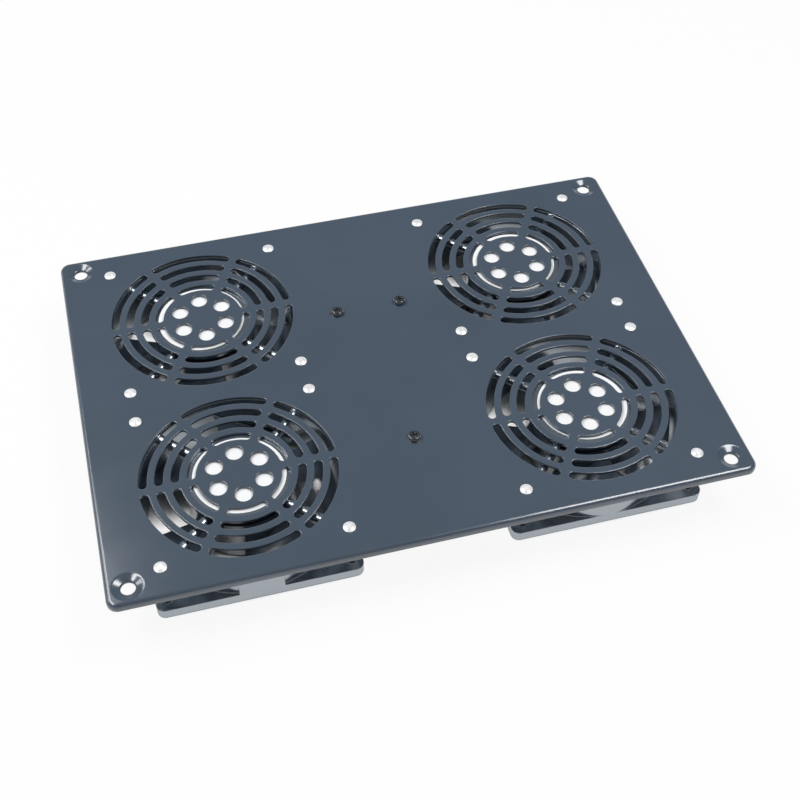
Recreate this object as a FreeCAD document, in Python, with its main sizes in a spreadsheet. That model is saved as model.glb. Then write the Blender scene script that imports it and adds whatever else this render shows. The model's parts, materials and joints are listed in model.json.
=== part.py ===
import FreeCAD, Part
import Sketcher
import math
import os
import re

# Rack roof fan panel: a shallow pressed steel tray with four grilles and a fan riveted under each one.
# Millimetres. X runs along the tray, Y to its back and Z up. The fans stand on Z = 0.

Vector = FreeCAD.Vector

SIZES = {
    # Pressed sheet tray, measured over its outside
    "plate_length": 375,
    "plate_width": 271,
    "sheet_thick": 1.5,
    "lip_depth": 4.5,
    "corner_radius": 6.5,
    "bend_radius": 2.5,
    # Corner holes for the roof screws, set in from the tray's edges, each in a pressed dimple
    "mount_edge_x": 12.5,
    "mount_edge_y": 11.75,
    "mount_hole_radius": 4.1,
    "mount_hole_round": 0.8,
    "dimple_radius": 8.6,
    "dimple_depth": 1.8,
    "dimple_round": 2.5,
    # Grille: a ring of round holes inside rings of arc slots, between straight spokes
    "spoke_count": 6,
    "spoke_width": 4.6,
    "eye_radius": 5.2,
    "eye_ring_radius": 15.3,
    "slot_width": 5,
    "slot_ring_radius": 27.2,
    "slot_ring_pitch": 9.2,
    "slot_ring_count": 4,
    # Fan places, set in from the tray's ends, and fixing holes
    "fan_edge_x": 83.5,
    "fan_pitch_y": 128,
    "fan_hole_pitch": 104.8,
    "fan_hole_radius": 2.2,
    # Cast fan frame: two square flanges joined by a flared bell
    "fan_side": 119,
    "fan_depth": 38,
    "fan_corner_radius": 5,
    "flange_thick": 6.8,
    "bore_radius": 57,
    "mouth_round": 2,
    "bell_low_radius": 59.6,
    "bell_high_radius": 63,
    "lead_block_width": 26,
    # Motor seat, its spokes and the bearing tube
    "seat_radius": 31,
    "seat_thick": 4,
    "seat_drop": 0.5,
    "seat_bevel": 1,
    "strut_width": 5,
    "strut_depth": 4.5,
    "strut_drop": 1,
    "strut_crown": 1.2,
    "tube_wall": 2,
    "tube_length": 22.5,
    "label_radius": 27,
    "label_thick": 0.2,
    "label_shift": 1.2,
    # Motor: stator on the tube, rotor cup round it
    "bearing_radius": 4.5,
    "bearing_length": 6,
    "bearing_drop": 2,
    "stator_radius": 24,
    "stator_height": 14,
    "winding_radius": 20,
    "winding_height": 3.2,
    "winding_gap": 1.3,
    "shaft_radius": 2,
    "shaft_drop": 0.5,
    "clip_radius": 3.8,
    "clip_thick": 0.6,
    "clip_groove_depth": 0.4,
    "clip_mouth": 2.4,
    "rotor_radius": 29.5,
    "rotor_floor": 1.5,
    "rotor_boss_radius": 5.5,
    "rotor_gap": 1,
    "boss_gap": 1,
    # Impeller
    "impeller_wall": 2,
    "impeller_floor": 1.8,
    "impeller_lift": 3,
    "blade_count": 5,
    "blade_thick": 1.8,
    "blade_camber_radius": 60,
    "blade_root_width": 28,
    "blade_root_height": 21,
    "blade_tip_width": 52,
    "blade_tip_height": 19,
    "blade_tip_gap": 1.2,
    # Blind rivets
    "rivet_radius": 2,
    "rivet_head_radius": 3.6,
    "rivet_head_height": 1.3,
    "rivet_head_edge": 0.4,
    "rivet_head_flat": 1.8,
    "rivet_tail_radius": 2.9,
    "rivet_tail_length": 3,
    # Cross-recessed screws, nuts and washer
    "screw_radius": 2,
    "screw_head_radius": 4,
    "screw_head_height": 2.6,
    "screw_head_bevel": 0.9,
    "recess_length": 4.4,
    "recess_width": 1.1,
    "recess_depth": 1.5,
    "nut_across": 7,
    "nut_height": 3.2,
    "nut_washer_radius": 4.4,
    "nut_washer_thick": 0.8,
    "screw_end": 1.5,
    "earth_y": -64,
    # Terminal block under the two back screws
    "block_pitch": 40.8,
    "block_y": 46.6,
    "block_ways": 3,
    "way_pitch": 10,
    "block_width": 18,
    "block_height": 15,
    "ear_length": 10,
    "ear_thick": 4,
    "entry_radius": 2.5,
    "entry_drop": 8.5,
    "clamp_radius": 2.4,
    "clamp_wall": 0.7,
    "clamp_inset": 2,
    "well_radius": 2,
    "well_pitch": 8,
    "grub_radius": 1.5,
    "grub_length": 4,
    # Clearances
    "hole_gap": 0.1,
    "fit_gap": 0.02,
    "running_gap": 0.03,
    "axial_gap": 0.3,
    "air_gap": 0.4,
}

# Each fan's place, as signs of X and Y, and whether its lead block is turned round to the back
FANS = {
    "front_left": (-1, -1, False),
    "front_right": (1, -1, True),
    "back_left": (-1, 1, True),
    "back_right": (1, 1, True),
}

# How far each label was stuck on off its fan's centre, in shares of the label shift along X and Y
LABEL_SHARES = {
    "front_left": (0.1, 0.1),
    "front_right": (1, 0.75),
    "back_left": (-0.8, 0.6),
    "back_right": (0, 1.25),
}

doc = FreeCAD.newDocument("rack_roof_fan_panel")
sheet = doc.addObject("Spreadsheet::Sheet", "sizes")
for row, (alias, number) in enumerate(SIZES.items(), start=1):
    sheet.set("A%d" % row, alias)
    sheet.set("B%d" % row, str(number))
    sheet.setAlias("B%d" % row, alias)
doc.recompute()


# Places that several pieces share, as formulas over the sheet
FAN_X = "(plate_length / 2 - fan_edge_x)"
FAN_Y = "(fan_pitch_y / 2)"
MOUNT_X = "(plate_length / 2 - mount_edge_x)"
MOUNT_Y = "(plate_width / 2 - mount_edge_y)"

# Heights above the floor and radii that several pieces share
PLATE_TOP = "(fan_depth + sheet_thick)"
SEAT_TOP = "(fan_depth - seat_drop)"
SEAT_LOW = "(fan_depth - seat_drop - seat_thick)"
TUBE_RADIUS = "(bearing_radius + tube_wall)"
TUBE_LOW = "(fan_depth - seat_drop - seat_thick - tube_length)"
STATOR_TOP = "(fan_depth - seat_drop - seat_thick - winding_gap - winding_height)"
STATOR_LOW = "(fan_depth - seat_drop - seat_thick - winding_gap - winding_height - stator_height)"
BEARING_TOP = "(fan_depth - seat_drop - bearing_drop)"
CLIP_LOW = "(fan_depth - seat_drop - bearing_drop + axial_gap)"
ROTOR_TOP = "(fan_depth - strut_drop - strut_depth - rotor_gap)"
ROTOR_LOW = "(impeller_lift + impeller_floor)"
IMPELLER_RADIUS = "(rotor_radius + fit_gap + impeller_wall)"
STRUT_LOW = "(fan_depth - strut_drop - strut_depth)"
FLANGE_LOW = "(fan_depth - flange_thick)"
HALF_PITCH = "(fan_hole_pitch / 2)"
BLOCK_LENGTH = "(block_ways * way_pitch)"
EAR_LOW = "(fan_depth - ear_thick)"

# Size of the ring from which a new outline's corners are moved to their places
SKETCH_REACH = 10

# Places of the terminal block's ways along X
WAYS = ["(%d - (block_ways - 1) / 2) * way_pitch" % way for way in range(SIZES["block_ways"])]


def cells(text):
    """Turn a formula over size names into an expression over the sheet's cells."""
    return re.sub(r"[a-z][a-z_]+", lambda word: "sizes." + word[0] if word[0] in SIZES else word[0], text)


def bind(thing, **formulas):
    """Bind properties of a document object to formulas."""
    for name, text in formulas.items():
        thing.setExpression(name, cells(text))


def place(thing, x="0", y="0", z="0", turn=0):
    """Put a sub-part at a place given by formulas, turned about Z."""
    thing.Placement = FreeCAD.Placement(Vector(), FreeCAD.Rotation(turn, 0, 0))
    for axis, text in zip("xyz", (x, y, z)):
        thing.setExpression("Placement.Base." + axis, cells(text))


def place_in_fan(thing, fan, shift_x="0", shift_y="0"):
    """Put a sub-part that is drawn about a fan's centre into that fan."""
    across, along, turned_round = FANS[fan]
    x = "%d * %s + %s" % (across, FAN_X, shift_x)
    y = "%d * %s + %s" % (along, FAN_Y, shift_y)
    place(thing, x, y, "0", 180 if turned_round else 0)


def new_body(label):
    """An empty body that may hold several loose solids."""
    body = doc.addObject("PartDesign::Body", label)
    body.Label = label
    body.AllowCompound = True
    return body


def origin_part(body, role):
    """One of the body's own origin planes or axes."""
    return next(part for part in body.Origin.OriginFeatures if part.Role == role)


def new_sketch(body, name, plane="XY_Plane", offset=("0", "0", "0"), turn=0, swing=0):
    """A sketch on an origin plane, moved by formulas in the plane's own axes, swung about its upright axis
    and turned about its normal."""
    sketch = body.newObject("Sketcher::SketchObject", name)
    sketch.AttachmentSupport = (origin_part(body, plane), [""])
    sketch.MapMode = "FlatFace"
    facing = FreeCAD.Rotation(Vector(0, 1, 0), swing) * FreeCAD.Rotation(turn, 0, 0)
    sketch.AttachmentOffset = FreeCAD.Placement(Vector(), facing)
    for axis, text in zip("xyz", offset):
        sketch.setExpression("AttachmentOffset.Base." + axis, cells(text))
    return sketch


def hold(sketch, kind, text, start, *where):
    """A dimension in a sketch, bound to a formula."""
    row = sketch.addConstraint(Sketcher.Constraint(kind, *where, start))
    sketch.setExpression("Constraints[%d]" % row, cells(text))


def hold_point(sketch, geometry, point, x, y, start):
    """Hold one point of a sketch at a place given by two formulas."""
    hold(sketch, "DistanceX", x, start.x, geometry, point)
    hold(sketch, "DistanceY", y, start.y, geometry, point)


def add_outline(sketch, corners):
    """A closed outline through corners that are pairs of formulas, first drawn as a ring."""
    count = len(corners)
    starts = []
    for index in range(count):
        angle = 2 * math.pi * index / count
        starts.append(Vector(math.cos(angle), math.sin(angle), 0) * SKETCH_REACH)
    first = sketch.GeometryCount
    for index in range(count):
        sketch.addGeometry(Part.LineSegment(starts[index], starts[(index + 1) % count]), False)
    for index, (x, y) in enumerate(corners):
        after = first + (index + 1) % count
        sketch.addConstraint(Sketcher.Constraint("Coincident", first + index, 2, after, 1))
        hold_point(sketch, first + index, 1, x, y, starts[index])


def add_rectangle(sketch, low, high):
    """A rectangle between two corners that are pairs of formulas."""
    add_outline(sketch, [low, (high[0], low[1]), high, (low[0], high[1])])


def add_circle(sketch, x, y, radius):
    """A circle whose centre and radius are formulas."""
    circle = sketch.addGeometry(Part.Circle(Vector(1, 1, 0), Vector(0, 0, 1), 1), False)
    hold_point(sketch, circle, 3, x, y, Vector(1, 1, 0))
    hold(sketch, "Radius", radius, 1, circle)


def add_arc(sketch, centre, radius, start, end):
    """An arc that runs counterclockwise from one angle to another."""
    circle = Part.Circle(centre, Vector(0, 0, 1), radius)
    return sketch.addGeometry(Part.ArcOfCircle(circle, start, end), False)


def pad(body, sketch, length, down=False):
    """Thicken a sketch along its normal, or against it."""
    feature = body.newObject("PartDesign::Pad", sketch.Name + "_pad")
    feature.Profile = sketch
    feature.Reversed = down
    bind(feature, Length=length)
    return feature


def pocket(body, sketch, depth=None, up=False):
    """Cut a sketch against its normal, or along it, to a depth or right through."""
    feature = body.newObject("PartDesign::Pocket", sketch.Name + "_pocket")
    feature.Profile = sketch
    feature.Reversed = up
    if depth is None:
        feature.Type = "ThroughAll"
    else:
        bind(feature, Length=depth)
    return feature


def revolve(body, sketch, kind="PartDesign::Revolution"):
    """Turn a sketch about its own upright axis, to add or to cut."""
    feature = body.newObject(kind, sketch.Name + "_turn")
    feature.Profile = sketch
    feature.ReferenceAxis = (sketch, ["V_Axis"])
    feature.Angle = 360
    return feature


def polar(body, original, count):
    """Repeat a feature about the body's upright axis."""
    pattern = body.newObject("PartDesign::PolarPattern", original.Name + "_pattern")
    pattern.Originals = [original]
    pattern.Axis = (origin_part(body, "Z_Axis"), [""])
    pattern.Angle = 360
    bind(pattern, Occurrences=count)
    body.Tip = pattern
    return pattern


def four_ways(body, original, sectors=None):
    """Repeat a feature about its sketch's normal if asked, then mirror it left to right and back to front."""
    multi = body.newObject("PartDesign::MultiTransform", original.Name + "_copies")
    multi.Originals = [original]
    steps = []
    if sectors:
        step = body.newObject("PartDesign::PolarPattern", original.Name + "_sectors")
        step.Axis = (original.Profile[0], ["N_Axis"])
        step.Angle = 360
        bind(step, Occurrences=sectors)
        steps.append(step)
    for plane in ("YZ_Plane", "XZ_Plane"):
        step = body.newObject("PartDesign::Mirrored", original.Name + "_mirror")
        step.MirrorPlane = (origin_part(body, plane), [""])
        steps.append(step)
    multi.Transformations = steps
    body.Tip = multi
    return multi


def round_edges(body, feature, radius, test):
    """Round the edges of a feature that pass a test."""
    doc.recompute()
    names = ["Edge%d" % (index + 1) for index, edge in enumerate(feature.Shape.Edges) if test(edge)]
    fillet = body.newObject("PartDesign::Fillet", feature.Name + "_round")
    fillet.Base = (feature, names)
    bind(fillet, Radius=radius)
    return fillet


def is_upright(edge):
    """True for a straight edge along Z."""
    box = edge.BoundBox
    return box.ZLength > 0.1 and box.XLength + box.YLength < 0.001


def is_ring(edge, radius, height):
    """True for a level circle of a given radius at a given height."""
    box = edge.BoundBox
    level = abs(box.ZMin - height) + abs(box.ZMax - height) < 0.001
    return level and abs(getattr(edge.Curve, "Radius", 0) - radius) < 0.001


def turned(label, corners):
    """A body with one revolved outline, drawn as pairs of radius and height."""
    body = new_body(label)
    sketch = new_sketch(body, label + "_profile", "XZ_Plane")
    add_outline(sketch, corners)
    revolve(body, sketch)
    return body


def make_roof_plate():
    """The tray: rounded block, shelled from below, then dimpled and punched."""
    body = new_body("roof_plate")
    rim = new_sketch(body, "plate_rim")
    half_x = "plate_length / 2"
    half_y = "plate_width / 2"
    add_rectangle(rim, ("-" + half_x, "-" + half_y), (half_x, half_y))
    block = pad(body, rim, "lip_depth", down=True)
    corners = round_edges(body, block, "corner_radius", is_upright)
    bend = round_edges(body, corners, "bend_radius", lambda edge: edge.BoundBox.ZMin > -0.01)
    doc.recompute()
    lowest = bend.Shape.BoundBox.ZMin
    underside = "Face%d" % (1 + next(
        index for index, face in enumerate(bend.Shape.Faces) if face.BoundBox.ZMax < lowest + 0.01))
    shell = body.newObject("PartDesign::Thickness", "plate_shell")
    shell.Base = (bend, [underside])
    shell.Reversed = True
    bind(shell, Value="sheet_thick")
    add_dimples(body)
    add_rivet_holes(body)
    add_screw_holes(body)
    add_grilles(body)
    place(body, z=PLATE_TOP)


def add_dimples(body):
    """Press a soft-edged cone down round each corner hole and pierce it, with the hole's rim rolled in."""
    corner = (MOUNT_X, "0", "-" + MOUNT_Y)
    hole = "mount_hole_radius"
    skin = new_sketch(body, "dimple_skin", "XZ_Plane", corner)
    add_outline(skin, [
        ("0", "-sheet_thick / 2"),
        ("dimple_radius", "-sheet_thick / 2"),
        ("dimple_radius", "-sheet_thick"),
        (hole, "-dimple_depth - sheet_thick"),
        ("0", "-dimple_depth - sheet_thick"),
    ])
    four_ways(body, revolve(body, skin))
    cone = new_sketch(body, "dimple_cone", "XZ_Plane", corner)
    add_outline(cone, [
        ("0", "0"),
        ("dimple_radius", "0"),
        (hole, "-dimple_depth"),
        (hole, "-dimple_depth - 2 * sheet_thick"),
        ("0", "-dimple_depth - 2 * sheet_thick"),
    ])
    pressed = four_ways(body, revolve(body, cone, "PartDesign::Groove"))
    soft = round_edges(body, pressed, "dimple_round", lambda edge: is_ring(edge, SIZES["dimple_radius"], 0))
    round_edges(body, soft, "mount_hole_round",
                lambda edge: is_ring(edge, SIZES["mount_hole_radius"], -SIZES["dimple_depth"]))


def add_rivet_holes(body):
    """Four holes over each fan's own fixing holes."""
    holes = new_sketch(body, "rivet_holes")
    for x in (" - ", " + "):
        for y in (" - ", " + "):
            add_circle(holes, FAN_X + x + HALF_PITCH, FAN_Y + y + HALF_PITCH, "rivet_radius + hole_gap")
    four_ways(body, pocket(body, holes))


def add_screw_holes(body):
    """Two holes over the terminal block and one for the earth screw."""
    holes = new_sketch(body, "screw_holes")
    add_circle(holes, "-block_pitch / 2", "block_y", "screw_radius + hole_gap")
    add_circle(holes, "block_pitch / 2", "block_y", "screw_radius + hole_gap")
    add_circle(holes, "0", "earth_y", "screw_radius + hole_gap")
    body.Tip = pocket(body, holes)


def add_slot(sketch, middle, middle_start):
    """An arc slot with round ends, centred on the sketch's X axis, between two spokes."""
    half_sector = math.pi / SIZES["spoke_count"]
    half_width = SIZES["slot_width"] / 2
    end_offset = (SIZES["spoke_width"] + SIZES["slot_width"]) / 2
    swing = half_sector - math.asin(end_offset / middle_start)
    centre = Vector(0, 0, 0)
    high = Vector(middle_start * math.cos(swing), middle_start * math.sin(swing), 0)
    low = Vector(high.x, -high.y, 0)
    outer = add_arc(sketch, centre, middle_start + half_width, -swing, swing)
    inner = add_arc(sketch, centre, middle_start - half_width, -swing, swing)
    high_cap = add_arc(sketch, high, half_width, swing, swing + math.pi)
    low_cap = add_arc(sketch, low, half_width, math.pi - swing, 2 * math.pi - swing)
    sketch.addConstraint([
        Sketcher.Constraint("Coincident", outer, 3, -1, 1),
        Sketcher.Constraint("Coincident", inner, 3, -1, 1),
        Sketcher.Constraint("Tangent", outer, 2, high_cap, 1),
        Sketcher.Constraint("Tangent", high_cap, 2, inner, 2),
        Sketcher.Constraint("Tangent", inner, 1, low_cap, 1),
        Sketcher.Constraint("Tangent", low_cap, 2, outer, 1),
    ])
    hold(sketch, "Radius", middle + " + slot_width / 2", middle_start + half_width, outer)
    hold(sketch, "Radius", middle + " - slot_width / 2", middle_start - half_width, inner)
    end_angle = "180 deg / spoke_count - asin((spoke_width + slot_width) / 2 / (%s))" % middle
    reach = "(%s) * sin(%s)" % (middle, end_angle)
    hold(sketch, "DistanceY", reach, high.y, high_cap, 3)
    hold(sketch, "DistanceY", "-" + reach, low.y, low_cap, 3)


def add_grilles(body):
    """One sector of a grille, repeated round its fan and mirrored to the other three."""
    centre = (FAN_X, FAN_Y, "0")
    sector = new_sketch(body, "grille_sector", offset=centre, turn=180 / SIZES["spoke_count"])
    add_circle(sector, "eye_ring_radius", "0", "eye_radius")
    for ring in range(SIZES["slot_ring_count"]):
        middle = "slot_ring_radius + %d * slot_ring_pitch" % ring
        middle_start = SIZES["slot_ring_radius"] + ring * SIZES["slot_ring_pitch"]
        add_slot(sector, middle, middle_start)
    four_ways(body, pocket(body, sector), "spoke_count")


def make_fan_frame(fan):
    """Cast frame: square block, waisted between its flanges, bored, with struts to the motor seat."""
    body = new_body("fan_frame_" + fan)
    half = "fan_side / 2"
    square = new_sketch(body, "frame_square")
    add_rectangle(square, ("-" + half, "-" + half), (half, half))
    round_edges(body, pad(body, square, "fan_depth"), "fan_corner_radius", is_upright)
    waist = new_sketch(body, "frame_waist", "XZ_Plane")
    add_outline(waist, [
        ("bell_low_radius", "flange_thick"),
        ("fan_side", "flange_thick"),
        ("fan_side", FLANGE_LOW),
        ("bell_high_radius", FLANGE_LOW),
    ])
    revolve(body, waist, "PartDesign::Groove")
    block = new_sketch(body, "lead_block", offset=("0", "0", "flange_thick"))
    add_rectangle(block, ("-lead_block_width / 2", "-" + half), ("lead_block_width / 2", "0"))
    pad(body, block, "fan_depth - 2 * flange_thick")
    bore = new_sketch(body, "frame_bore", offset=("0", "0", "fan_depth"))
    add_circle(bore, "0", "0", "bore_radius")
    ends = (0, SIZES["fan_depth"])
    round_edges(body, pocket(body, bore), "mouth_round",
                lambda edge: any(is_ring(edge, SIZES["bore_radius"], end) for end in ends))
    add_struts(body)
    seat = new_sketch(body, "motor_seat", "XZ_Plane")
    add_outline(seat, [
        ("bearing_radius", TUBE_LOW),
        (TUBE_RADIUS, TUBE_LOW),
        (TUBE_RADIUS, SEAT_LOW),
        ("seat_radius", SEAT_LOW),
        ("seat_radius", SEAT_TOP + " - seat_bevel"),
        ("seat_radius - seat_bevel", SEAT_TOP),
        ("bearing_radius", SEAT_TOP),
    ])
    revolve(body, seat)
    holes = new_sketch(body, "flange_holes", offset=("0", "0", "fan_depth"))
    for x in (HALF_PITCH, "-" + HALF_PITCH):
        for y in (HALF_PITCH, "-" + HALF_PITCH):
            add_circle(holes, x, y, "fan_hole_radius")
    body.Tip = pocket(body, holes)
    place_in_fan(body, fan)


def add_struts(body):
    """Four straight struts with crowned tops, from inside the motor seat's rim into the bore's corners."""
    inner = "(seat_radius - strut_width)"
    outer = "(bore_radius + strut_width)"
    start = (inner + " * sin(45 deg)", "0", inner + " * cos(45 deg)")
    section = new_sketch(body, "strut_section", "YZ_Plane", start, swing=45)
    half = SIZES["strut_width"] / 2
    crown = SIZES["strut_crown"]
    crown_radius = (half ** 2 + crown ** 2) / (2 * crown)
    top = SIZES["fan_depth"] - SIZES["strut_drop"]
    low = top - SIZES["strut_depth"]
    slope = math.asin(half / crown_radius)
    left_low = Vector(-half, low, 0)
    right_low = Vector(half, low, 0)
    right_high = Vector(half, top - crown, 0)
    left_high = Vector(-half, top - crown, 0)
    base = section.addGeometry(Part.LineSegment(left_low, right_low), False)
    right = section.addGeometry(Part.LineSegment(right_low, right_high), False)
    left = section.addGeometry(Part.LineSegment(left_high, left_low), False)
    centre = Vector(0, top - crown_radius, 0)
    arc = add_arc(section, centre, crown_radius, math.pi / 2 - slope, math.pi / 2 + slope)
    section.addConstraint([
        Sketcher.Constraint("Coincident", base, 2, right, 1),
        Sketcher.Constraint("Coincident", right, 2, arc, 1),
        Sketcher.Constraint("Coincident", arc, 2, left, 1),
        Sketcher.Constraint("Coincident", left, 2, base, 1),
    ])
    shoulder = "fan_depth - strut_drop - strut_crown"
    hold_point(section, base, 1, "-strut_width / 2", STRUT_LOW, left_low)
    hold_point(section, base, 2, "strut_width / 2", STRUT_LOW, right_low)
    hold_point(section, arc, 1, "strut_width / 2", shoulder, right_high)
    hold_point(section, arc, 2, "-strut_width / 2", shoulder, left_high)
    hold(section, "Radius", "(strut_width ^ 2 / 4 + strut_crown ^ 2) / (2 * strut_crown)", crown_radius, arc)
    polar(body, pad(body, section, outer + " - " + inner), "4")


def make_hub_label(fan):
    """Bare round foil label, stuck by hand on the motor seat."""
    body = turned("hub_label_" + fan, [
        ("0", SEAT_TOP),
        ("label_radius", SEAT_TOP),
        ("label_radius", SEAT_TOP + " + label_thick"),
        ("0", SEAT_TOP + " + label_thick"),
    ])
    shift_x, shift_y = ["%g * label_shift" % share for share in LABEL_SHARES[fan]]
    place_in_fan(body, fan, shift_x, shift_y)


def make_stator(fan):
    """Laminated core with its end windings, on the bearing tube."""
    inside = TUBE_RADIUS + " + fit_gap"
    body = turned("stator_" + fan, [
        (inside, STATOR_LOW + " - winding_height"),
        ("winding_radius", STATOR_LOW + " - winding_height"),
        ("winding_radius", STATOR_LOW),
        ("stator_radius", STATOR_LOW),
        ("stator_radius", STATOR_TOP),
        ("winding_radius", STATOR_TOP),
        ("winding_radius", STATOR_TOP + " + winding_height"),
        (inside, STATOR_TOP + " + winding_height"),
    ])
    place_in_fan(body, fan)


def make_bearings(fan):
    """Two sleeve bearings, at the top and bottom of the tube."""
    body = new_body("bearings_" + fan)
    rings = new_sketch(body, "bearing_rings", "XZ_Plane")
    inside = "shaft_radius + running_gap"
    outside = "bearing_radius - fit_gap"
    add_rectangle(rings, (inside, BEARING_TOP + " - bearing_length"), (outside, BEARING_TOP))
    add_rectangle(rings, (inside, TUBE_LOW), (outside, TUBE_LOW + " + bearing_length"))
    revolve(body, rings)
    place_in_fan(body, fan)


def make_shaft(fan):
    """Rotor shaft with a groove for its clip."""
    groove = "shaft_radius - clip_groove_depth"
    low = CLIP_LOW + " - fit_gap"
    high = CLIP_LOW + " + clip_thick + fit_gap"
    body = turned("shaft_" + fan, [
        ("0", ROTOR_LOW),
        ("shaft_radius", ROTOR_LOW),
        ("shaft_radius", low),
        (groove, low),
        (groove, high),
        ("shaft_radius", high),
        ("shaft_radius", SEAT_TOP + " - shaft_drop"),
        ("0", SEAT_TOP + " - shaft_drop"),
    ])
    place_in_fan(body, fan)


def make_shaft_clip(fan):
    """Open spring clip in the shaft's groove, above the upper bearing."""
    body = new_body("shaft_clip_" + fan)
    ring = new_sketch(body, "clip_ring", "XZ_Plane")
    add_rectangle(ring, ("shaft_radius - clip_groove_depth + fit_gap", CLIP_LOW),
                  ("clip_radius", CLIP_LOW + " + clip_thick"))
    revolve(body, ring)
    mouth = new_sketch(body, "clip_mouth", offset=("0", "0", CLIP_LOW))
    add_rectangle(mouth, ("0", "-clip_mouth / 2"), ("2 * clip_radius", "clip_mouth / 2"))
    body.Tip = pocket(body, mouth, up=True)
    place_in_fan(body, fan)


def make_rotor(fan):
    """Rotor cup: floor with a boss for the shaft, and a ring round the stator."""
    ring_inside = "stator_radius + air_gap"
    floor = ROTOR_LOW + " + rotor_floor"
    body = turned("rotor_" + fan, [
        ("shaft_radius + fit_gap", ROTOR_LOW),
        ("rotor_radius", ROTOR_LOW),
        ("rotor_radius", ROTOR_TOP + " - fit_gap"),
        (ring_inside, ROTOR_TOP + " - fit_gap"),
        (ring_inside, floor),
        ("rotor_boss_radius", floor),
        ("rotor_boss_radius", TUBE_LOW + " - boss_gap"),
        ("shaft_radius + fit_gap", TUBE_LOW + " - boss_gap"),
    ])
    place_in_fan(body, fan)


def add_blade_section(sketch, width, height):
    """A cambered strip: two equal arcs, one above the other, closed by short upright lines."""
    half_width = SIZES[width] / 2
    half_height = SIZES[height] / 2
    lift = Vector(0, SIZES["blade_thick"], 0)
    low = Vector(-half_width, -half_height, 0)
    high = Vector(half_width, half_height, 0)
    chord = math.hypot(half_width, half_height)
    bow = math.sqrt(SIZES["blade_camber_radius"] ** 2 - chord ** 2)
    centre = Vector(-half_height, half_width, 0) * (bow / chord)
    start = math.atan2(low.y - centre.y, low.x - centre.x)
    end = math.atan2(high.y - centre.y, high.x - centre.x)
    under = add_arc(sketch, centre, SIZES["blade_camber_radius"], start, end)
    over = add_arc(sketch, centre + lift, SIZES["blade_camber_radius"], start, end)
    left = sketch.addGeometry(Part.LineSegment(low + lift, low), False)
    right = sketch.addGeometry(Part.LineSegment(high, high + lift), False)
    sketch.addConstraint([
        Sketcher.Constraint("Coincident", left, 2, under, 1),
        Sketcher.Constraint("Coincident", under, 2, right, 1),
        Sketcher.Constraint("Coincident", right, 2, over, 2),
        Sketcher.Constraint("Coincident", over, 1, left, 1),
    ])
    for arc, rise, shift in ((under, "", Vector()), (over, " + blade_thick", lift)):
        hold(sketch, "Radius", "blade_camber_radius", SIZES["blade_camber_radius"], arc)
        hold_point(sketch, arc, 1, "-%s / 2" % width, "-%s / 2%s" % (height, rise), low + shift)
        hold_point(sketch, arc, 2, "%s / 2" % width, "%s / 2%s" % (height, rise), high + shift)


def make_impeller(fan):
    """Moulded hub cup over the rotor with twisted blades, trimmed to the bore."""
    body = new_body("impeller_" + fan)
    tip_radius = "bore_radius - blade_tip_gap"
    middle = "((impeller_lift + %s) / 2)" % ROTOR_TOP
    hub = new_sketch(body, "impeller_hub", "XZ_Plane")
    add_rectangle(hub, ("0", "impeller_lift"), (IMPELLER_RADIUS, ROTOR_TOP))
    revolve(body, hub)
    root = new_sketch(body, "blade_root", "YZ_Plane", ("0", middle, IMPELLER_RADIUS + " - 2 * impeller_wall"))
    add_blade_section(root, "blade_root_width", "blade_root_height")
    tip = new_sketch(body, "blade_tip", "YZ_Plane", ("0", middle, "bore_radius"))
    add_blade_section(tip, "blade_tip_width", "blade_tip_height")
    blade = body.newObject("PartDesign::AdditiveLoft", "blade")
    blade.Profile = root
    blade.Sections = [tip]
    blade.Ruled = True
    polar(body, blade, "blade_count")
    trim = new_sketch(body, "tip_trim", "XZ_Plane")
    add_rectangle(trim, (tip_radius, "-fan_depth"), ("2 * bore_radius", "2 * fan_depth"))
    revolve(body, trim, "PartDesign::Groove")
    hollow = new_sketch(body, "hub_hollow", offset=("0", "0", ROTOR_LOW))
    add_circle(hollow, "0", "0", "rotor_radius + fit_gap")
    body.Tip = pocket(body, hollow, "fan_depth", up=True)
    place_in_fan(body, fan)


def make_rivets(fan):
    """Four blind rivets through the plate and the fan's top flange."""
    body = new_body("rivets_" + fan)
    profile = new_sketch(body, "rivet_profile", "XZ_Plane", (HALF_PITCH, PLATE_TOP, "-" + HALF_PITCH))
    grip = "-sheet_thick - flange_thick"
    add_outline(profile, [
        ("0", "rivet_head_height"),
        ("rivet_head_flat", "rivet_head_height"),
        ("rivet_head_radius", "rivet_head_edge"),
        ("rivet_head_radius", "0"),
        ("rivet_radius", "0"),
        ("rivet_radius", grip),
        ("rivet_tail_radius", grip),
        ("rivet_tail_radius", grip + " - rivet_tail_length"),
        ("0", grip + " - rivet_tail_length"),
    ])
    polar(body, revolve(body, profile), "4")
    place_in_fan(body, fan)


def add_screw(body, place_x, place_y, shank, name):
    """A pan-head screw with a cross recess, its head on the plate."""
    profile = new_sketch(body, name + "_profile", "XZ_Plane", (place_x, PLATE_TOP, "-(%s)" % place_y))
    add_outline(profile, [
        ("0", "screw_head_height"),
        ("screw_head_radius - screw_head_bevel", "screw_head_height"),
        ("screw_head_radius", "screw_head_height - screw_head_bevel"),
        ("screw_head_radius", "0"),
        ("screw_radius", "0"),
        ("screw_radius", "-(%s)" % shank),
        ("0", "-(%s)" % shank),
    ])
    revolve(body, profile)
    top = (place_x, place_y, PLATE_TOP + " + screw_head_height")
    for angle in (0, 90):
        arm = new_sketch(body, name + "_recess", offset=top, turn=angle)
        half_length = "recess_length / 2"
        half_width = "recess_width / 2"
        add_rectangle(arm, ("-" + half_length, "-" + half_width), (half_length, half_width))
        body.Tip = pocket(body, arm, "recess_depth")


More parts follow.
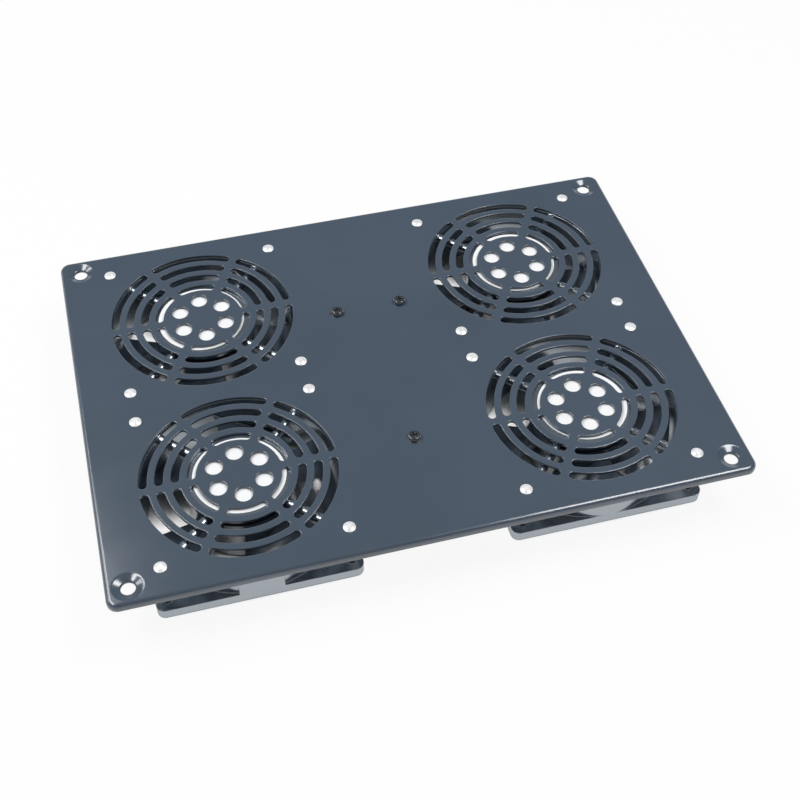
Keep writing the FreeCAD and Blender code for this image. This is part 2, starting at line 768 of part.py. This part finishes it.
def add_nut(body, place_x, place_y, top, name):
    """A hexagon nut drawn flat to flat along Y, hanging below a height, with a hole for its screw."""
    nut = new_sketch(body, name + "_nut", offset=(place_x, place_y, top))
    corners = []
    for index in range(6):
        angle = "%d deg" % (60 * index)
        reach = "nut_across / 2 / cos(30 deg)"
        corners.append(("%s * cos(%s)" % (reach, angle), "%s * sin(%s)" % (reach, angle)))
    add_outline(nut, corners)
    add_circle(nut, "0", "0", "screw_radius + fit_gap")
    body.Tip = pad(body, nut, "nut_height", down=True)


def make_block_fixings():
    """Two screws and nuts that hold the terminal block under the plate."""
    shank = "sheet_thick + ear_thick + nut_height + screw_end"
    screws = new_body("block_screws")
    nuts = new_body("block_nuts")
    for side in ("-", ""):
        place_x = side + "block_pitch / 2"
        add_screw(screws, place_x, "block_y", shank, "block_screw")
        add_nut(nuts, place_x, "block_y", EAR_LOW, "block")


def make_earth_fixings():
    """Earth screw with a plain washer and nut under the plate."""
    shank = "sheet_thick + nut_washer_thick + nut_height + screw_end"
    add_screw(new_body("earth_screw"), "0", "earth_y", shank, "earth_screw")
    washer = new_body("earth_washer")
    ring = new_sketch(washer, "washer_ring", offset=("0", "earth_y", "fan_depth"))
    add_circle(ring, "0", "0", "nut_washer_radius")
    add_circle(ring, "0", "0", "screw_radius + hole_gap")
    pad(washer, ring, "nut_washer_thick", down=True)
    add_nut(new_body("earth_nut"), "0", "earth_y", "fan_depth - nut_washer_thick", "earth")


def make_terminal_block():
    """Moulded block with an ear at each end, wire entries along Y and screw wells from below."""
    body = new_body("terminal_block")
    half_width = "block_width / 2"
    ears = new_sketch(body, "block_ears", offset=("0", "block_y", "fan_depth"))
    reach = "(block_pitch + ear_length) / 2"
    add_rectangle(ears, ("-" + reach, "-ear_length / 2"), (reach, "ear_length / 2"))
    for side in ("-", ""):
        add_circle(ears, side + "block_pitch / 2", "0", "screw_radius + hole_gap")
    pad(body, ears, "ear_thick", down=True)
    case = new_sketch(body, "block_case", offset=("0", "block_y", "fan_depth"))
    half_length = BLOCK_LENGTH + " / 2"
    add_rectangle(case, ("-" + half_length, "-" + half_width), (half_length, half_width))
    pad(body, case, "block_height", down=True)
    front = "-block_y + block_width / 2"
    entries = new_sketch(body, "wire_entries", "XZ_Plane", ("0", "fan_depth - entry_drop", front))
    wells = new_sketch(body, "screw_wells", offset=("0", "block_y", "fan_depth - block_height"))
    for way in WAYS:
        add_circle(entries, way, "0", "entry_radius")
        for side in ("-", ""):
            add_circle(wells, way, side + "well_pitch / 2", "well_radius")
    pocket(body, entries)
    body.Tip = pocket(body, wells, "block_height - entry_drop", up=True)


def make_terminal_clamps():
    """Brass tubes in the wire entries, drilled for their screws."""
    body = new_body("terminal_clamps")
    tubes = new_sketch(body, "clamp_tubes", "XZ_Plane",
                       ("0", "fan_depth - entry_drop", "-block_y - block_width / 2 + clamp_inset"))
    for way in WAYS:
        add_circle(tubes, way, "0", "clamp_radius")
        add_circle(tubes, way, "0", "clamp_radius - clamp_wall")
    pad(body, tubes, "block_width - 2 * clamp_inset")
    taps = new_sketch(body, "clamp_taps", offset=("0", "block_y", "fan_depth - block_height"))
    for way in WAYS:
        for side in ("-", ""):
            add_circle(taps, way, side + "well_pitch / 2", "grub_radius + fit_gap")
    body.Tip = pocket(body, taps, "block_height - entry_drop", up=True)


def make_terminal_screws():
    """Grub screws in the wells, two to a way."""
    body = new_body("terminal_screws")
    top = "fan_depth - entry_drop - clamp_radius + clamp_wall"
    shanks = new_sketch(body, "grub_shanks", offset=("0", "block_y", top))
    for way in WAYS:
        for side in ("-", ""):
            add_circle(shanks, way, side + "well_pitch / 2", "grub_radius")
    pad(body, shanks, "grub_length", down=True)


def check(bodies):
    """Stop unless every feature worked, each cut removed and each addition added material."""
    for thing in doc.Objects:
        if "Invalid" in thing.State or "Error" in thing.State:
            raise RuntimeError("%s failed: %s" % (thing.Name, thing.State))
    for body in bodies:
        if body.Shape.isNull() or not body.Shape.isValid() or not body.Shape.Solids:
            raise RuntimeError("%s has no valid solid" % body.Label)
        for feature in body.Group:
            base = getattr(feature, "BaseFeature", None)
            if base is None or feature.Shape.isNull():
                continue
            change = feature.Shape.Volume - base.Shape.Volume
            cuts = feature.TypeId in ("PartDesign::Pocket", "PartDesign::Groove")
            adds = feature.TypeId in ("PartDesign::Pad", "PartDesign::Revolution", "PartDesign::AdditiveLoft")
            if (cuts and change > -1e-6) or (adds and change < 1e-6):
                raise RuntimeError("%s in %s changed nothing" % (feature.Name, body.Label))


make_roof_plate()
for fan_name in FANS:
    make_fan_frame(fan_name)
    make_hub_label(fan_name)
    make_stator(fan_name)
    make_bearings(fan_name)
    make_shaft(fan_name)
    make_shaft_clip(fan_name)
    make_rotor(fan_name)
    make_impeller(fan_name)
    make_rivets(fan_name)
make_block_fixings()
make_earth_fixings()
make_terminal_block()
make_terminal_clamps()
make_terminal_screws()

doc.recompute()
sub_parts = [thing for thing in doc.Objects if thing.TypeId == "PartDesign::Body"]
check(sub_parts)
os.makedirs("parts", exist_ok=True)
for sub_part in sub_parts:
    sub_part.Shape.exportStep("parts/%s.step" % sub_part.Label)
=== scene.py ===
import json
import math

import bmesh
import bpy
from mathutils import Matrix, Vector


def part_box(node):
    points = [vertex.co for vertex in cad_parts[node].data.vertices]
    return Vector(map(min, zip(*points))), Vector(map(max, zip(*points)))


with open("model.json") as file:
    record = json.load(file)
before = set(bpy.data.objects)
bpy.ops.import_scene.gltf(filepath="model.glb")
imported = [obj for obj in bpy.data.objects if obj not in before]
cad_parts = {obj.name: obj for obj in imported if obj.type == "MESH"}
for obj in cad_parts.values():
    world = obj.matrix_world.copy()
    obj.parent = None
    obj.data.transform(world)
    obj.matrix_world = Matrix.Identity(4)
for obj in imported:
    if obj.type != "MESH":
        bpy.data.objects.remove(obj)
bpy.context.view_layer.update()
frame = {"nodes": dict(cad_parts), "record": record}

nodes = frame["nodes"]
slot_of = {part["node"]: part["material_slot"] for part in frame["record"]["subparts"]}

# Camera of the photograph, fitted to the rivets
IMAGE_SIDE = 800
FOCAL_PIXELS = 1275.1
SENSOR_WIDTH = 36.0
AZIMUTH = -15.65
ELEVATION = 49.47
ROLL = 0.90
DISTANCE = 0.7662
TARGET = Vector((-0.0006, -0.0339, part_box("roof_plate")[1].z))

# A round white tent: a level floor, a cove and a low upright wall, in metres
FLOOR_RADIUS = 2.6
FLOOR_DROP = 0.0002
COVE_RADIUS = 0.2
COVE_STEPS = 12
WALL_TOP = 0.68
TENT_SIDES = 96
WELD_DISTANCE = 0.0001

# Share of white glow where the tent is seen or mirrored: none in a closed nook, this much in the open;
# taking the glow away in nooks paints shade under the fans
GLOW_SHARE = 0.92
NOOK_REACH = 0.025
NOOK_CLOSED = 0.35
NOOK_OPEN = 0.5

# Light: the softboxes' places and sides in metres, and their power in watts
WORLD_STRENGTH = 0.15
SOFTBOXES = (
    ("left_softbox", (-0.64, 0.26, 1.22), 1.15, 0.28, 8.8),
    ("far_left_softbox", (-0.95, 0.62, 1.0), 0.8, 0.24, 3.4),
    ("right_softbox", (0.6, -0.04, 1.25), 0.72, 0.46, 9.7),
)

# Procedural detail: the span that most of a noise lies in, and the rays that shade a softened edge
NOISE_LOW = 0.3
NOISE_HIGH = 0.7
EDGE_SAMPLES = 6


def make_camera():
    """A camera at the photograph's place, turned about its own line of sight by the photograph's roll."""
    azimuth = math.radians(AZIMUTH)
    elevation = math.radians(ELEVATION)
    back = Vector((
        math.sin(azimuth) * math.cos(elevation),
        -math.cos(azimuth) * math.cos(elevation),
        math.sin(elevation),
    ))
    level_right = Vector((0, 0, 1)).cross(back).normalized()
    level_up = back.cross(level_right)
    roll = math.radians(ROLL)
    right = level_right * math.cos(roll) + level_up * math.sin(roll)
    up = level_up * math.cos(roll) - level_right * math.sin(roll)
    data = bpy.data.cameras.new("photo_camera")
    data.sensor_width = SENSOR_WIDTH
    data.lens = FOCAL_PIXELS * SENSOR_WIDTH / IMAGE_SIDE
    camera = bpy.data.objects.new("photo_camera", data)
    turn = Matrix((right, up, back)).transposed().to_4x4()
    camera.matrix_world = Matrix.Translation(TARGET + back * DISTANCE) @ turn
    bpy.context.scene.collection.objects.link(camera)
    bpy.context.scene.camera = camera


class Finish:
    """A node material with a few helpers for procedural detail in metres."""

    def __init__(self, name, colour, roughness, metallic=0.0):
        self.material = bpy.data.materials.new(name)
        self.material.use_nodes = True
        self.tree = self.material.node_tree
        self.shader = self.tree.nodes["Principled BSDF"]
        self.shader.inputs["Metallic"].default_value = metallic
        self.shader.inputs["Base Color"].default_value = (*colour, 1)
        self.shader.inputs["Roughness"].default_value = roughness
        self.colour = colour
        self.place = self.add("ShaderNodeTexCoord").outputs["Object"]
        self.normal = None

    def add(self, kind):
        return self.tree.nodes.new(kind)

    def link(self, source, target):
        self.tree.links.new(source, target)

    def noise(self, size, detail=3.0, roughness=0.55):
        """Cloudy noise whose blotches are about size metres across."""
        node = self.add("ShaderNodeTexNoise")
        node.inputs["Scale"].default_value = 1 / size
        node.inputs["Detail"].default_value = detail
        node.inputs["Roughness"].default_value = roughness
        self.link(self.place, node.inputs["Vector"])
        return node.outputs["Fac"]

    def spread(self, source, low, high):
        """Map a noise's usual span to a range of numbers."""
        node = self.add("ShaderNodeMapRange")
        node.inputs["From Min"].default_value = NOISE_LOW
        node.inputs["From Max"].default_value = NOISE_HIGH
        node.inputs["To Min"].default_value = low
        node.inputs["To Max"].default_value = high
        self.link(source, node.inputs["Value"])
        return node.outputs["Result"]

    def vary_colour(self, source, dark, light):
        """Let the colour wander between a darker and a lighter shade of itself."""
        ramp = self.add("ShaderNodeValToRGB")
        ramp.color_ramp.elements[0].position = NOISE_LOW
        ramp.color_ramp.elements[1].position = NOISE_HIGH
        ramp.color_ramp.elements[0].color = (*[channel * dark for channel in self.colour], 1)
        ramp.color_ramp.elements[1].color = (*[channel * light for channel in self.colour], 1)
        self.link(source, ramp.inputs["Fac"])
        self.link(ramp.outputs["Color"], self.shader.inputs["Base Color"])

    def vary_roughness(self, source, low, high):
        self.link(self.spread(source, low, high), self.shader.inputs["Roughness"])

    def soften_edges(self, radius):
        """Shade sharp edges as if they were rounded by a radius."""
        bevel = self.add("ShaderNodeBevel")
        bevel.samples = EDGE_SAMPLES
        bevel.inputs["Radius"].default_value = radius
        self.normal = bevel.outputs["Normal"]
        self.link(self.normal, self.shader.inputs["Normal"])

    def bump(self, source, height, strength=1.0):
        """Raise the surface by a height in metres where the noise is high."""
        node = self.add("ShaderNodeBump")
        node.inputs["Distance"].default_value = height
        node.inputs["Strength"].default_value = strength
        self.link(source, node.inputs["Height"])
        if self.normal:
            self.link(self.normal, node.inputs["Normal"])
        self.normal = node.outputs["Normal"]
        self.link(self.normal, self.shader.inputs["Normal"])


def powder_coat():
    """Dark slate powder coat: a fine orange peel with a semi-gloss sheen."""
    finish = Finish("powder_coat", colour=(0.063, 0.089, 0.125), roughness=0.16)
    finish.shader.inputs["IOR"].default_value = 1.85
    finish.soften_edges(radius=0.001)
    finish.vary_colour(finish.noise(size=0.09, detail=4), dark=0.94, light=1.06)
    finish.vary_roughness(finish.noise(size=0.02, detail=5), low=0.14, high=0.18)
    finish.bump(finish.noise(size=0.0016, detail=2), height=0.00002, strength=0.4)
    return finish.material


def black_lacquer():
    """Die casting under a thick gloss black lacquer that mirrors the floor, a little wavy from the mould."""
    finish = Finish("black_lacquer", colour=(0.05, 0.068, 0.095), roughness=0.19)
    finish.shader.inputs["IOR"].default_value = 4.6
    finish.shader.inputs["Specular Tint"].default_value = (0.86, 0.94, 1, 1)
    finish.soften_edges(radius=0.0012)
    finish.vary_colour(finish.noise(size=0.02, detail=4), dark=0.85, light=1.15)
    finish.vary_roughness(finish.noise(size=0.006, detail=4), low=0.17, high=0.22)
    finish.bump(finish.noise(size=0.003, detail=2), height=0.00003, strength=0.3)
    return finish.material


def foil_label():
    """Plain white foil with a very slight ripple."""
    finish = Finish("foil_label", colour=(0.92, 0.93, 0.94), roughness=0.45)
    finish.vary_colour(finish.noise(size=0.012, detail=2), dark=0.97, light=1.02)
    finish.bump(finish.noise(size=0.008, detail=2), height=0.00003, strength=0.4)
    return finish.material


def core_steel():
    """Varnished laminations."""
    finish = Finish("core_steel", colour=(0.2, 0.17, 0.14), roughness=0.5, metallic=0.6)
    finish.vary_colour(finish.noise(size=0.003, detail=4), dark=0.7, light=1.2)
    return finish.material


def bronze():
    """Sintered bronze and plain brass."""
    finish = Finish("bronze", colour=(0.55, 0.38, 0.16), roughness=0.4, metallic=1.0)
    finish.vary_colour(finish.noise(size=0.002, detail=4), dark=0.8, light=1.15)
    finish.vary_roughness(finish.noise(size=0.001, detail=3), low=0.32, high=0.5)
    return finish.material


def rivet_aluminium():
    """Bright drawn aluminium, a little dulled."""
    finish = Finish("rivet_aluminium", colour=(0.9, 0.91, 0.92), roughness=0.4, metallic=0.35)
    finish.vary_colour(finish.noise(size=0.002, detail=3), dark=0.95, light=1.03)
    finish.vary_roughness(finish.noise(size=0.001, detail=3), low=0.34, high=0.5)
    return finish.material


def black_plastic():
    """Glass-filled black moulding with a fine spark texture."""
    finish = Finish("black_plastic", colour=(0.066, 0.09, 0.12), roughness=0.2)
    finish.shader.inputs["IOR"].default_value = 2.0
    finish.vary_colour(finish.noise(size=0.01, detail=4), dark=0.85, light=1.2)
    finish.vary_roughness(finish.noise(size=0.004, detail=3), low=0.13, high=0.22)
    finish.bump(finish.noise(size=0.004, detail=2), height=0.00003, strength=0.4)
    return finish.material


def plated_steel(name, colour, roughness):
    """Zinc-plated steel with a faint spangle."""
    finish = Finish(name, colour, roughness, metallic=1.0)
    finish.vary_colour(finish.noise(size=0.003, detail=4), dark=0.88, light=1.08)
    finish.vary_roughness(finish.noise(size=0.0015, detail=3), low=roughness - 0.07, high=roughness + 0.1)
    return finish.material


def black_steel():
    """Blackened screw steel with a gloss."""
    finish = Finish("black_steel", colour=(0.02, 0.028, 0.038), roughness=0.13)
    finish.shader.inputs["IOR"].default_value = 2.2
    finish.soften_edges(radius=0.0006)
    finish.vary_colour(finish.noise(size=0.002, detail=3), dark=0.8, light=1.3)
    finish.vary_roughness(finish.noise(size=0.001, detail=3), low=0.1, high=0.16)
    return finish.material


def white_plastic():
    """Ivory moulding compound."""
    finish = Finish("white_plastic", colour=(0.74, 0.72, 0.66), roughness=0.45)
    finish.vary_colour(finish.noise(size=0.006, detail=4), dark=0.94, light=1.04)
    finish.bump(finish.noise(size=0.0008, detail=2), height=0.00002, strength=0.5)
    return finish.material


def dress_nodes():
    """Give each solid the finish of its slot."""
    finishes = {
        "powder_coat": powder_coat(),
        "black_lacquer": black_lacquer(),
        "foil_label": foil_label(),
        "core_steel": core_steel(),
        "bronze": bronze(),
        "rivet_aluminium": rivet_aluminium(),
        "black_plastic": black_plastic(),
        "rotor_steel": plated_steel("rotor_steel", (0.4, 0.4, 0.41), 0.4),
        "bright_steel": plated_steel("bright_steel", (0.6, 0.6, 0.61), 0.3),
        "black_steel": black_steel(),
        "white_plastic": white_plastic(),
    }
    for name, node in nodes.items():
        node.data.materials.clear()
        node.data.materials.append(finishes[slot_of[name]])


def table_top():
    """White laminate, seen and mirrored as a nearly burnt-out white that keeps some of the shadow.
    Ambient occlusion takes this glow away in nooks close under the fans, which paints shade there, and from
    below the floor is clear."""
    finish = Finish("table_top", colour=(0.9, 0.9, 0.9), roughness=0.6)
    finish.vary_colour(finish.noise(size=0.5, detail=2), dark=0.995, light=1.005)
    glow = finish.add("ShaderNodeEmission")
    glow.inputs["Strength"].default_value = 1.0
    path = finish.add("ShaderNodeLightPath")
    mirrored = finish.add("ShaderNodeMath")
    mirrored.operation = "MAXIMUM"
    finish.link(path.outputs["Is Glossy Ray"], mirrored.inputs[0])
    finish.link(path.outputs["Is Transmission Ray"], mirrored.inputs[1])
    seen = finish.add("ShaderNodeMath")
    seen.operation = "MAXIMUM"
    finish.link(path.outputs["Is Camera Ray"], seen.inputs[0])
    finish.link(mirrored.outputs["Value"], seen.inputs[1])
    # painted shade: ambient occlusion cuts the glow where the floor is closed in under the fans
    nook = finish.add("ShaderNodeAmbientOcclusion")
    nook.inputs["Distance"].default_value = NOOK_REACH
    open_share = finish.add("ShaderNodeMapRange")
    open_share.inputs["From Min"].default_value = NOOK_CLOSED
    open_share.inputs["From Max"].default_value = NOOK_OPEN
    open_share.inputs["To Max"].default_value = GLOW_SHARE
    finish.link(nook.outputs["AO"], open_share.inputs["Value"])
    share = finish.add("ShaderNodeMath")
    share.operation = "MULTIPLY"
    finish.link(seen.outputs["Value"], share.inputs[0])
    finish.link(open_share.outputs["Result"], share.inputs[1])
    mix = finish.add("ShaderNodeMixShader")
    finish.link(share.outputs["Value"], mix.inputs["Fac"])
    finish.link(finish.shader.outputs["BSDF"], mix.inputs[1])
    finish.link(glow.outputs["Emission"], mix.inputs[2])
    side = finish.add("ShaderNodeNewGeometry")
    one_sided = finish.add("ShaderNodeMixShader")
    finish.link(side.outputs["Backfacing"], one_sided.inputs["Fac"])
    finish.link(mix.outputs["Shader"], one_sided.inputs[1])
    finish.link(finish.add("ShaderNodeBsdfTransparent").outputs["BSDF"], one_sided.inputs[2])
    finish.link(one_sided.outputs["Shader"], finish.tree.nodes["Material Output"].inputs["Surface"])
    return finish.material


def make_tent():
    """A white floor that turns up into a low wall all round the panel."""
    profile = [(0, 0)]
    for step in range(COVE_STEPS + 1):
        angle = math.pi / 2 * step / COVE_STEPS
        reach = FLOOR_RADIUS + COVE_RADIUS * math.sin(angle)
        profile.append((reach, COVE_RADIUS * (1 - math.cos(angle))))
    profile.append((FLOOR_RADIUS + COVE_RADIUS, WALL_TOP))
    form = bmesh.new()
    edges = []
    points = [form.verts.new((reach, 0, height)) for reach, height in profile]
    for low, high in zip(points, points[1:]):
        edges.append(form.edges.new((low, high)))
    bmesh.ops.spin(form, geom=points + edges, cent=(0, 0, 0), axis=(0, 0, 1), angle=2 * math.pi,
                   steps=TENT_SIDES, use_merge=True)
    bmesh.ops.remove_doubles(form, verts=form.verts[:], dist=WELD_DISTANCE)
    mesh = bpy.data.meshes.new("tent")
    form.to_mesh(mesh)
    form.free()
    mesh.polygons.foreach_set("use_smooth", [True] * len(mesh.polygons))
    mesh.materials.append(table_top())
    tent = bpy.data.objects.new("tent", mesh)
    tent.location.z = -FLOOR_DROP
    bpy.context.scene.collection.objects.link(tent)


def make_world():
    """Dim, even surroundings without a tint."""
    world = bpy.data.worlds.new("studio")
    world.use_nodes = True
    background = world.node_tree.nodes["Background"]
    background.inputs["Color"].default_value = (1, 1, 1, 1)
    background.inputs["Strength"].default_value = WORLD_STRENGTH
    bpy.context.scene.world = world


def add_softbox(name, place, width, height, power):
    """A rectangular area lamp that faces the middle of the floor."""
    data = bpy.data.lights.new(name, "AREA")
    data.shape = "RECTANGLE"
    data.size = width
    data.size_y = height
    data.energy = power
    lamp = bpy.data.objects.new(name, data)
    lamp.location = place
    lamp.rotation_mode = "QUATERNION"
    lamp.rotation_quaternion = (-Vector(place)).to_track_quat("-Z", "Y")
    bpy.context.scene.collection.objects.link(lamp)


make_camera()
dress_nodes()
make_tent()
make_world()
for softbox in SOFTBOXES:
    add_softbox(*softbox)
bpy.context.scene.view_settings.view_transform = "Standard"
